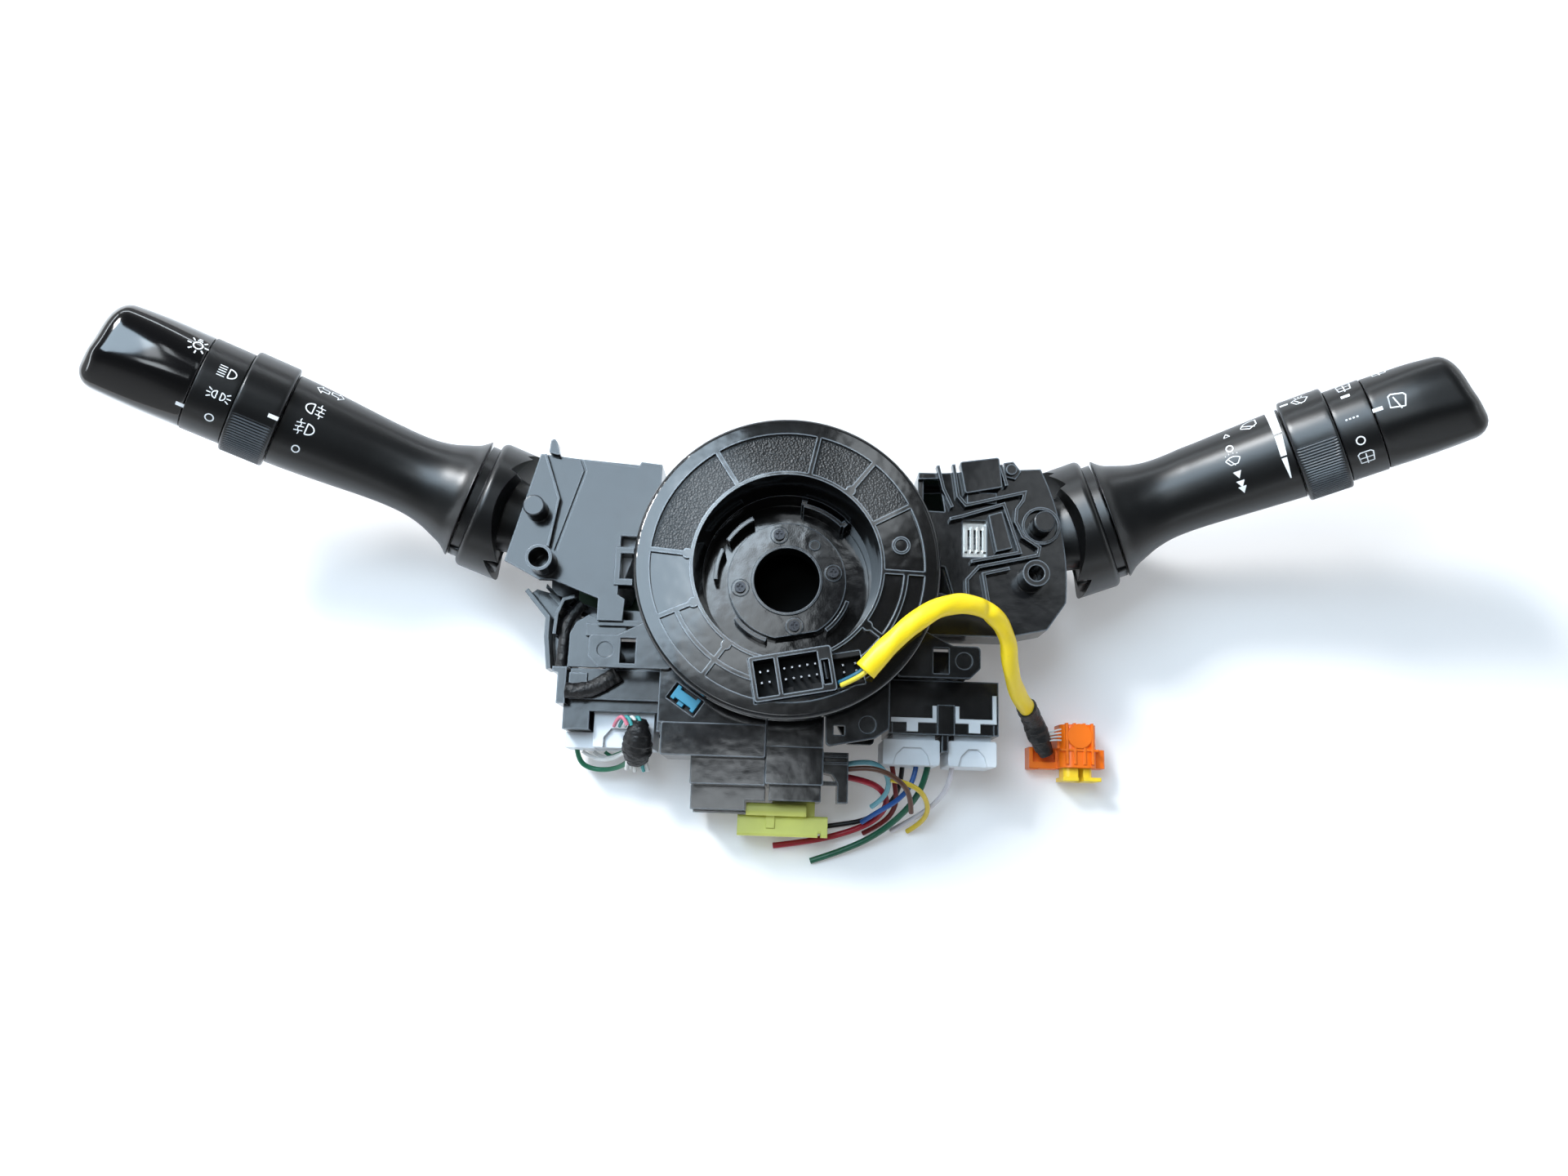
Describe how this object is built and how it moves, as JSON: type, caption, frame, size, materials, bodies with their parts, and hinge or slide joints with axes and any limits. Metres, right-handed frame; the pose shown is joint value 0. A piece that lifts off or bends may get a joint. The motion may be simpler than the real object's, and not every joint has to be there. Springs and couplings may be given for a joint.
{
  "type": "steering column combination switch",
  "caption": "Steering column switch with a turning spiral cable in the centre, a light stalk on the left, a wiper stalk on the right, plugs and wires.",
  "frame": {"origin": "on the axis of the column bore, at the back face of the clamp collar, on which the part lies", "axes": "+Z along the column towards the driver, +X to the wiper stalk, +Y up in the picture"},
  "size_m": [0.4497, 0.1692, 0.0976],
  "materials": {
    "ring_plastic": "satin black moulding",
    "hub_plastic": "satin black moulding",
    "steel": "zinc plated",
    "connector_black": "fine matte",
    "pin_metal": "tinned",
    "case_plastic": "fine grain",
    "ribbon_film": "film",
    "cover_gloss": "semi-gloss",
    "cover_matte": "matte",
    "board": "coated board",
    "blue_plastic": "satin",
    "lime_plastic": "satin",
    "white_plastic": "satin",
    "pale_plastic": "satin",
    "orange_plastic": "satin",
    "tape": "cloth tape",
    "yellow_sleeve": "soft sleeve",
    "lever_satin": "fine grained satin",
    "knob_gloss": "smooth",
    "wire_green": "wire insulation",
    "wire_red": "wire insulation",
    "wire_brown": "wire insulation",
    "wire_blue": "wire insulation",
    "wire_yellow": "wire insulation",
    "wire_black": "wire insulation",
    "wire_white": "wire insulation"
  },
  "bodies": {
    "root": {"angle_sensor": "case_plastic", "case_screws": "steel", "clamp_screw": "steel", "column_bracket": "case_plastic", "column_clamp": "steel", "lead_sleeve": "yellow_sleeve", "lead_tape": "tape", "lead_wire_blue": "wire_blue", "lead_wire_yellow": "wire_yellow", "left_board": "board", "left_case": "case_plastic", "left_cover": "cover_gloss", "left_plug": "pale_plastic", "left_socket": "connector_black", "left_tape": "tape", "lock_slide": "blue_plastic", "lower_cover": "case_plastic", "lower_housing": "case_plastic", "main_plug": "lime_plastic", "ribbon_cable": "ribbon_film", "right_board": "board", "right_case": "case_plastic", "right_contacts": "pin_metal", "right_cover": "cover_matte", "right_plugs": "pale_plastic", "right_socket": "connector_black", "side_clip": "case_plastic", "socket_rails": "white_plastic", "spiral_case": "case_plastic", "squib_insert": "lime_plastic", "squib_plug": "orange_plastic", "wire_black": "wire_black", "wire_blue": "wire_blue", "wire_brown": "wire_brown", "wire_dark_red": "wire_red", "wire_green": "wire_green", "wire_left_green": "wire_green", "wire_light_blue": "wire_blue", "wire_red": "wire_red", "wire_white": "wire_white", "wire_yellow": "wire_yellow"},
    "rotor": {"rotor_disc": "ring_plastic", "rotor_hub": "hub_plastic", "hub_screws": "steel", "rotor_connector": "connector_black", "rotor_pins": "pin_metal"},
    "left_cradle": {"left_cradle": "white_plastic", "left_detent": "steel"},
    "left_lever": {"left_lever_root": "lever_satin", "left_lever_arm": "lever_satin", "left_lever_sleeve": "lever_satin"},
    "left_ring": {"left_ring": "lever_satin"},
    "left_knob": {"left_knob": "knob_gloss"},
    "right_cradle": {"right_cradle": "white_plastic", "right_detent": "steel"},
    "right_lever": {"right_lever_root": "lever_satin", "right_lever_arm": "lever_satin", "right_lever_sleeve": "lever_satin"},
    "right_ring": {"right_ring": "lever_satin"},
    "right_knob": {"right_knob": "lever_satin"}
  },
  "joints": [
    {"name": "rotor_spin", "type": "hinge", "parent": "root", "child": "rotor", "pos_m": [0, 0, 0.05], "axis": [0, 0, 1], "range_deg": [-900, 900], "deforming": ["lead_sleeve", "lead_wire_yellow", "lead_wire_blue"]},
    {"name": "left_turn", "type": "hinge", "parent": "root", "child": "left_cradle", "pos_m": [-0.0642, 0.0105, 0.024], "axis": [0, 0, 1], "range_deg": [-8.5, 8.5]},
    {"name": "left_flash", "type": "hinge", "parent": "left_cradle", "child": "left_lever", "pos_m": [-0.0642, 0.0105, 0.024], "axis": [0.314, 0.9494, 0], "range_deg": [-5, 5], "stiffness_Nm_per_rad": 12},
    {"name": "left_ring_turn", "type": "hinge", "parent": "left_lever", "child": "left_ring", "pos_m": [-0.17682, 0.04691, 0.06597], "axis": [-0.8602, 0.2607, 0.4383], "range_deg": [0, 30]},
    {"name": "left_knob_turn", "type": "hinge", "parent": "left_lever", "child": "left_knob", "pos_m": [-0.19876, 0.05355, 0.07715], "axis": [-0.8602, 0.2607, 0.4383], "range_deg": [0, 50]},
    {"name": "right_wipe", "type": "hinge", "parent": "root", "child": "right_cradle", "pos_m": [0.0642, 0.0105, 0.024], "axis": [0, 0, 1], "range_deg": [-18, 6]},
    {"name": "right_wash", "type": "hinge", "parent": "right_cradle", "child": "right_lever", "pos_m": [0.0642, 0.0105, 0.024], "axis": [0.314, -0.9494, 0], "range_deg": [0, 5], "stiffness_Nm_per_rad": 12},
    {"name": "right_ring_turn", "type": "hinge", "parent": "right_lever", "child": "right_ring", "pos_m": [0.17407, 0.04607, 0.06457], "axis": [0.8602, 0.2607, 0.4383], "range_deg": [-25, 25]},
    {"name": "right_knob_turn", "type": "hinge", "parent": "right_lever", "child": "right_knob", "pos_m": [0.19472, 0.05233, 0.07508], "axis": [0.8602, 0.2607, 0.4383], "range_deg": [-40, 40]}
  ]
}
